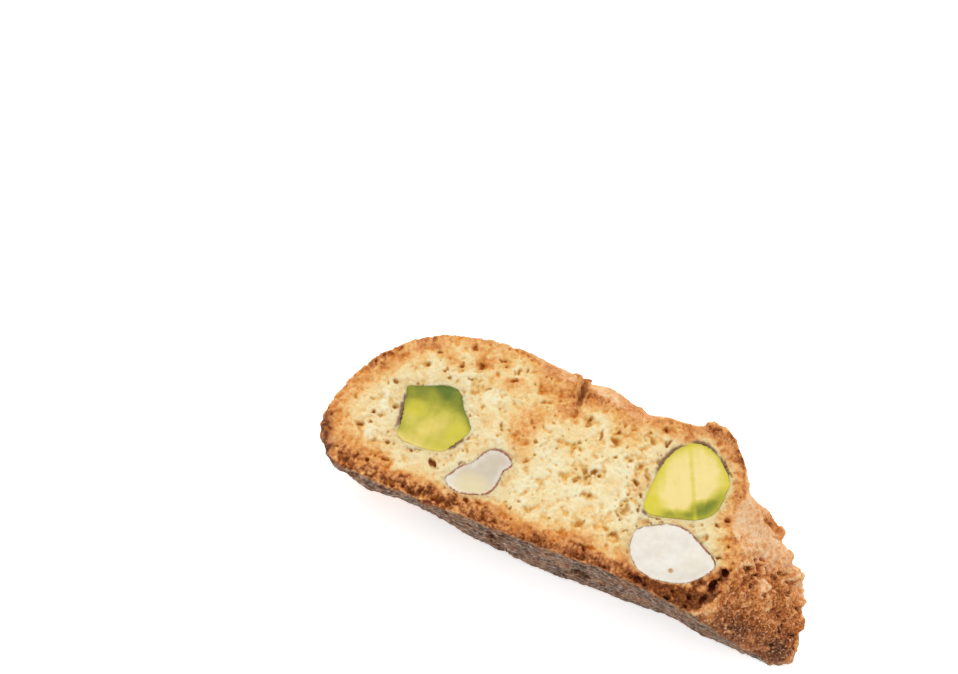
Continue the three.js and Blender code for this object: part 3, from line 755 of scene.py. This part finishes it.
# ---------------------------------------------------------------------------------------------
# The kernels: two shelled pistachios and two almonds, baked whole into the dough and cut through
# with it. The knife left smooth, slightly waxy faces, with the thin papery skin round them.

# A kernel whose foot lies below THROUGH runs right through the slice. The skin's fine wrinkles
# are too small to show and are drawn coarser, PAPER_MM across.
KERNEL_STEP = 0.14
KERNEL_SWELL = 0.17
THROUGH = 0.5
CUT_BAND = 0.9
PAPER_MM = 0.5


def cut_kernel(name, rise, roll_size, roll_height):
    """A kernel grown to touch the crumb, with its points and how far each is from its cut edge."""
    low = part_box(name)[0].z * MM_A_METRE
    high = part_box(name)[1].z * MM_A_METRE
    piece = copy_in_mm(name, name.replace("_", "_kernel_"))
    edge = face_outline(piece.data, high, 1.0)
    if low < THROUGH:
        edge += face_outline(piece.data, low, -1.0)
    refine(piece, KERNEL_STEP)
    spots = read(piece.data, "co")
    directions = read(piece.data, "normal")
    gap = nearest_gap(spots, edge)
    level = np.abs(directions[:, 2])
    flat = ease(0.75, 0.95, level) * (spots[:, 2] > high - CUT_BAND)
    rolls = roll_height * waves(spots, roll_size, 7.0) + 0.025 * waves(spots, 0.8, 9.0)
    swell = KERNEL_SWELL + 0.09 * waves(spots, 0.9, 11.0)
    out = (1.0 - flat) * swell + flat * (rise * ease(0.0, 1.2, gap) + rolls)
    spots = spots + directions * out[:, None]
    spots[:, 2] = np.maximum(spots[:, 2], low)
    piece.data.vertices.foreach_set("co", spots.ravel())
    piece.data.update()
    cut = (level > 0.6) & ((spots[:, 2] > high - 0.6) | (spots[:, 2] < 0.7))
    return piece, spots, np.where(cut, gap, 0.0)


def finish_kernel(piece, name, material):
    """Brings a kernel to metres and sets it in the slice in its CAD node's stead."""
    piece.data.transform(Matrix.Scale(1.0 / MM_A_METRE, 4))
    bpy.ops.object.shade_smooth()
    piece.data.materials.append(material)
    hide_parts(name)
    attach(piece, "root")


# Almond: ivory flesh, dense and faintly waxy where the knife smoothed it, in a thin wrinkled
# red-brown skin. The larger one is white, and the smaller one is greyer with a warm middle.
almond = new_material("sliced_almond_ivory_flesh_and_brown_skin")
place = add(almond, "ShaderNodeTexCoord", "Object")
skin_at, dull, warm, spot = [
    add(almond, "ShaderNodeAttribute", "Fac", attribute_name=name)
    for name in ("skin_gap", "dull", "warm", "spot")
]
ALMOND_CLOUD_MM = 1.6
cloud = add(almond, "ShaderNodeTexNoise", "Fac", {
    "Vector": place, "Scale": MM_A_METRE / ALMOND_CLOUD_MM, "Detail": 5.0, "Roughness": 0.7})
flesh = add(almond, "ShaderNodeValToRGB", "Color", {"Fac": cloud}, stops=[
    (0.3, "#E8E0D3"), (0.5, "#F0EADE"), (0.7, "#F8F4EB")])
flesh = add(almond, "ShaderNodeMix", "Result_Color", {
    "Factor_Float": dull, "A_Color": flesh, "B_Color": linear("#D2C4AE")}, data_type="RGBA")
flesh = add(almond, "ShaderNodeMix", "Result_Color", {
    "Factor_Float": warm, "A_Color": flesh, "B_Color": linear("#EEDCAA")}, data_type="RGBA")
flesh = add(almond, "ShaderNodeMix", "Result_Color", {
    "Factor_Float": spot, "A_Color": flesh, "B_Color": linear("#C58A4C")}, data_type="RGBA")
papery = add(almond, "ShaderNodeTexNoise", "Fac", {
    "Vector": place, "Scale": MM_A_METRE / PAPER_MM, "Detail": 2.0, "Roughness": 0.6})
skin_edge = add(almond, "ShaderNodeMath", "Value", {
    "Value": papery, "Value_001": 0.22, "Value_002": skin_at}, operation="MULTIPLY_ADD")
in_skin = add(almond, "ShaderNodeMapRange", "Result", {
    "Value": skin_edge, "From Min": 0.13, "From Max": 0.24, "To Min": 1.0, "To Max": 0.0})
skin_colour = add(almond, "ShaderNodeValToRGB", "Color", {"Fac": papery}, stops=[
    (0.3, "#9A5A44"), (0.55, "#B57358"), (0.8, "#CE9B80")])
colour = add(almond, "ShaderNodeMix", "Result_Color", {
    "Factor_Float": in_skin, "A_Color": flesh, "B_Color": skin_colour}, data_type="RGBA")
bump = add(almond, "ShaderNodeBump", "Normal", {"Strength": 0.1, "Distance": 0.0002, "Height": cloud})
shader = add(almond, "ShaderNodeBsdfPrincipled", "BSDF", {
    "Base Color": colour, "Roughness": 0.55, "Normal": bump, "Specular IOR Level": 0.3})
add(almond, "ShaderNodeOutputMaterial", None, {"Surface": shader})

piece, spots, gap = cut_kernel("almond_right", 0.12, 3.5, 0.07)
seat = spots.T[:2]
give(piece.data,
     skin_gap=gap + 0.03 - 0.06 * waves(spots, 1.6, 3.0)
     - 0.08 * patch(seat, 18.0, -3.6, 6.0, 2.0, -30.0),
     dull=0.05 + 0.08 * waves(spots, 4.0, 5.0) + 0.20 * patch(seat, 18.0, -8.6, 3.5, 2.0, 30.0),
     warm=0.10 * patch(seat, 13.0, -5.5, 3.0, 3.0) + 0.15 * patch(seat, 19.0, -6.0, 2.5, 2.5),
     spot=ease(0.0, 0.8, patch(seat, 16.05, -8.75, 0.48, 0.40) * (1.0 + 0.4 * waves(spots, 0.4, 5.0))))
finish_kernel(piece, "almond_right", almond)

piece, spots, gap = cut_kernel("almond_left", 0.05, 3.0, 0.06)
seat = spots.T[:2]
give(piece.data,
     skin_gap=gap - 0.03 - 0.08 * waves(spots, 1.2, 4.0),
     dull=0.95 - 0.55 * patch(seat, -17.2, -9.2, 1.8, 1.6) + 0.12 * waves(spots, 1.2, 6.0)
     - 0.35 * ease(0.9, 0.2, gap),
     warm=0.80 * patch(seat, -14.6, -8.6, 3.8, 2.8),
     spot=np.zeros(len(gap)))
finish_kernel(piece, "almond_left", almond)

# Pistachio: waxy flesh from pale yellow inside to green under the skin, which is thin and dark
# brown. The fold between the two halves of the right-hand kernel shows as a line.
pistachio = new_material("cut_pistachio_green_and_yellow_flesh_and_brown_skin")
place = add(pistachio, "ShaderNodeTexCoord", "Object")
skin_at, green, yellow = [
    add(pistachio, "ShaderNodeAttribute", "Fac", attribute_name=name)
    for name in ("skin_gap", "green", "yellow")
]
PISTACHIO_CLOUD_MM = 1.3
cloud = add(pistachio, "ShaderNodeTexNoise", "Fac", {
    "Vector": place, "Scale": MM_A_METRE / PISTACHIO_CLOUD_MM, "Detail": 4.0, "Roughness": 0.65})
green_tone = add(pistachio, "ShaderNodeMath", "Value", {
    "Value": cloud, "Value_001": 0.32, "Value_002": green}, operation="MULTIPLY_ADD")
flesh = add(pistachio, "ShaderNodeValToRGB", "Color", {"Fac": green_tone}, stops=[
    (0.11, "#F7E095"), (0.30, "#E5D06C"), (0.50, "#CABF4F"), (0.68, "#A6A339"),
    (0.84, "#868B30"), (1.00, "#64782C")])
flesh = add(pistachio, "ShaderNodeMix", "Result_Color", {
    "Factor_Float": yellow, "A_Color": flesh, "B_Color": linear("#DED044")}, data_type="RGBA")
papery = add(pistachio, "ShaderNodeTexNoise", "Fac", {
    "Vector": place, "Scale": MM_A_METRE / PAPER_MM, "Detail": 2.0, "Roughness": 0.6})
skin_edge = add(pistachio, "ShaderNodeMath", "Value", {
    "Value": papery, "Value_001": 0.14, "Value_002": skin_at}, operation="MULTIPLY_ADD")
in_skin = add(pistachio, "ShaderNodeMapRange", "Result", {
    "Value": skin_edge, "From Min": 0.07, "From Max": 0.17, "To Min": 1.0, "To Max": 0.0})
skin_colour = add(pistachio, "ShaderNodeValToRGB", "Color", {"Fac": papery}, stops=[
    (0.3, "#35241B"), (0.5, "#573F30"), (0.75, "#957B64")])
colour = add(pistachio, "ShaderNodeMix", "Result_Color", {
    "Factor_Float": in_skin, "A_Color": flesh, "B_Color": skin_colour}, data_type="RGBA")
bump = add(pistachio, "ShaderNodeBump", "Normal", {
    "Strength": 0.25, "Distance": 0.0002, "Height": cloud})
shader = add(pistachio, "ShaderNodeBsdfPrincipled", "BSDF", {
    "Base Color": colour, "Roughness": 0.5, "Normal": bump, "Specular IOR Level": 0.12})
add(pistachio, "ShaderNodeOutputMaterial", None, {"Surface": shader})

piece, spots, gap = cut_kernel("pistachio_left", 0.10, 3.2, 0.12)
seat = spots.T[:2]
x, y = seat
give(piece.data,
     skin_gap=gap + 0.25 - 0.34 * patch(seat, -27.9, -2.9, 1.2, 4.0)
     - 0.28 * patch(seat, -19.2, -3.8, 1.3, 2.0, -30.0),
     green=0.29 + 0.32 * ease(-2.4, 2.4, y) + 0.20 * patch(seat, -23.4, 3.0, 1.8, 1.4)
     - 0.20 * ease(-4.6, -6.0, y) + 0.06 * waves(spots, 2.0, 3.0)
     - 0.14 * patch(seat, -22.4, -1.6, 1.3, 2.8, -20.0) - 0.12 * patch(seat, -24.2, -3.8, 1.1, 2.6)
     + 0.14 * np.exp(-gap / 0.6) * ease(-5.4, -4.4, y),
     yellow=0.60 * ease(0, 1, patch(seat, -26.4, -0.9, 2.2, 1.7))
     + 0.60 * ease(0, 1, patch(seat, -19.6, -2.4, 2.1, 2.8))
     + 0.30 * patch(seat, -21.5, -5.0, 2.2, 1.2) + 0.25 * patch(seat, -24.0, -3.0, 0.5, 4.0))
finish_kernel(piece, "pistachio_left", pistachio)

piece, spots, gap = cut_kernel("pistachio_right", 0.10, 3.4, 0.08)
seat = spots.T[:2]
x, y = seat
FOLD_AT, FOLD_ACROSS = (12.3, 8.8), (0.906, 0.423)
across = (x - FOLD_AT[0]) * FOLD_ACROSS[0] + (y - FOLD_AT[1]) * FOLD_ACROSS[1]
fold = np.abs(across)
fibres = waves(np.column_stack([across, 0.12 * y, 0.0 * y]), 0.7, 12.0)
give(piece.data,
     skin_gap=gap + 0.22 - 0.24 * patch(seat, 9.6, 5.0, 2.2, 5.5, -15.0)
     - 0.20 * patch(seat, 14.5, 10.0, 5.6, 1.8, -20.0),
     green=-0.08 + 0.85 * patch(seat, 17.4, 0.9, 3.2, 2.2, 35.0)
     + 0.50 * patch(seat, 18.9, 3.0, 1.9, 2.8) + 0.55 * patch(seat, 12.4, -1.6, 1.7, 1.2)
     + 0.55 * patch(seat, 14.8, -1.1, 2.4, 1.4) + 0.40 * np.exp(-gap / 0.55)
     + 0.16 * ease(0.7, 0.0, fold) * ease(9.5, 7.0, y) + 0.05 * fibres,
     yellow=np.clip(0.60 * np.exp(-gap / 0.7) + 0.8 * patch(seat, 10.4, -0.8, 2.2, 1.8)
                    + 0.40 * ease(0.5, 0.0, fold) + 0.4 * patch(seat, 18.5, 6.5, 1.6, 1.6)
                    + 0.4 * patch(seat, 9.8, 2.0, 1.2, 4.0) + 0.08 * fibres, 0, 1))
finish_kernel(piece, "pistachio_right", pistachio)


# ---------------------------------------------------------------------------------------------
# The floor is a wide pale table top, and the light comes from large soft panels overhead.

bpy.ops.object.select_all(action="DESELECT")
FLOOR_SIZE = 3.0
bpy.ops.mesh.primitive_plane_add(size=FLOOR_SIZE, location=(0.0, 0.0, 0.0))
floor = bpy.context.object
floor.name = "pale_floor"
table_top = new_material("matt_white_table_top")
surface = add(table_top, "ShaderNodeBsdfPrincipled", "BSDF", {
    "Base Color": linear("#FCFCFC"), "Roughness": 0.9, "Specular IOR Level": 0.1,
    "Emission Color": linear("#FFFFFF"), "Emission Strength": 0.45})
add(table_top, "ShaderNodeOutputMaterial", None, {"Surface": surface})
floor.data.materials.append(table_top)

# The camera: a long lens nearly overhead, leaning 12 degrees towards the flat crust. Its aim is
# settled in a few rounds, so that the middle of the cut face falls on its place in the frame.
FRAME_WIDE, FRAME_HIGH = 958, 674
LENS, SENSOR = 100.0, 36.0
MM_A_PIXEL = 0.1432
LEAN, ROLL = math.radians(12.0), math.radians(23.0)
AIM_ROUNDS = 20
TARGET_PIXEL = Vector((588.85, 472.04))
distance = LENS / SENSOR * FRAME_WIDE * MM_A_PIXEL
off = (FRAME_WIDE / 2 - TARGET_PIXEL.x, FRAME_HIGH / 2 - TARGET_PIXEL.y)
wanted = Vector((0.0, -math.sin(LEAN), math.cos(LEAN)))
back = wanted.copy()
for _ in range(AIM_ROUNDS):
    back.normalize()
    level = Vector((0.0, 1.0, 0.0)).cross(back).normalized()
    rise = back.cross(level)
    right = math.cos(ROLL) * level + math.sin(ROLL) * rise
    up = -math.sin(ROLL) * level + math.cos(ROLL) * rise
    line = distance * back + MM_A_PIXEL * (off[0] * right - off[1] * up)
    last = back.copy()
    back = back + (wanted - line.normalized())
back = last
centre = Vector((0.0, 0.0, THICKNESS)) + MM_A_PIXEL * (off[0] * right - off[1] * up) \
    + distance * back
camera_data = bpy.data.cameras.new("camera")
camera_data.lens, camera_data.sensor_width = LENS, SENSOR
camera_data.clip_start, camera_data.clip_end = 0.01, 20.0
camera = bpy.data.objects.new("camera", camera_data)
camera.matrix_world = Matrix((
    (right.x, up.x, back.x, centre.x / MM_A_METRE),
    (right.y, up.y, back.y, centre.y / MM_A_METRE),
    (right.z, up.z, back.z, centre.z / MM_A_METRE),
    (0.0, 0.0, 0.0, 1.0)))
bpy.context.scene.collection.objects.link(camera)
bpy.context.scene.camera = camera


def soft_panel(name, place, size, power):
    """A square light panel that faces the object."""
    lamp = bpy.data.lights.new(name, "AREA")
    lamp.shape, lamp.size, lamp.energy = "SQUARE", size, power
    holder = bpy.data.objects.new(name, lamp)
    holder.location = place
    holder.rotation_mode = "QUATERNION"
    holder.rotation_quaternion = Vector(place).to_track_quat("Z", "Y")
    bpy.context.scene.collection.objects.link(holder)


soft_panel("key_panel", (-0.45, 0.70, 1.0), 0.5, 5.0)
soft_panel("top_panel", (0.1, 0.1, 1.3), 1.4, 7.0)
world = bpy.data.worlds.new("room")
world.use_nodes = True
world.node_tree.nodes["Background"].inputs["Color"].default_value = (1.0, 1.0, 1.0, 1.0)
world.node_tree.nodes["Background"].inputs["Strength"].default_value = 0.48
bpy.context.scene.world = world
bpy.context.scene.view_settings.view_transform = "Standard"
